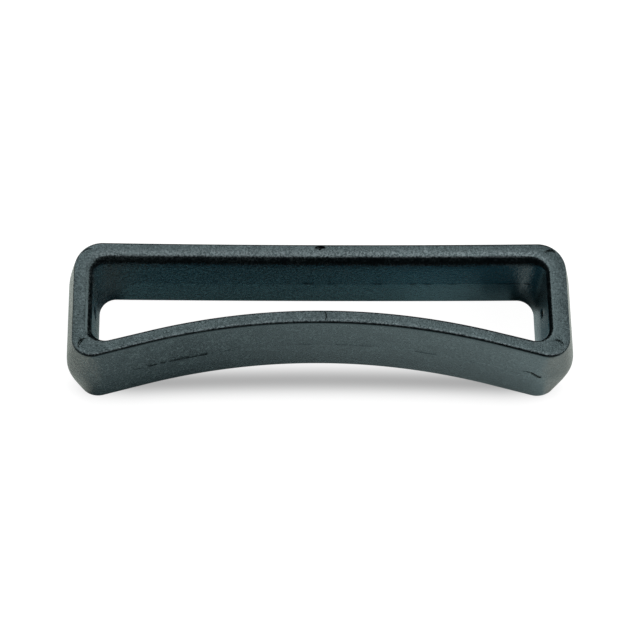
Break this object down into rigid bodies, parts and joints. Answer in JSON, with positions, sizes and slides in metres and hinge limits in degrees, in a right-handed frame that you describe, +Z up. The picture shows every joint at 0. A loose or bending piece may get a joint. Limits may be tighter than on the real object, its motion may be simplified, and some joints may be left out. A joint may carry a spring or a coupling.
{
  "type": "belt loop keeper",
  "caption": "Moulded charcoal plastic loop that holds down the free end of a flat belt, with one straight bar and one bar arched inwards.",
  "frame": {"origin": "on the floor, below the middle of the loop's box", "axes": "+X along the loop's width, +Y from the arched bar towards the straight bar, +Z up, along the opening that the belt runs through"},
  "size_m": [0.058, 0.014, 0.0168],
  "materials": {
    "moulded_plastic": "matte, finely grained"
  },
  "bodies": {
    "root": {"loop_frame": "moulded_plastic"}
  },
  "joints": []
}
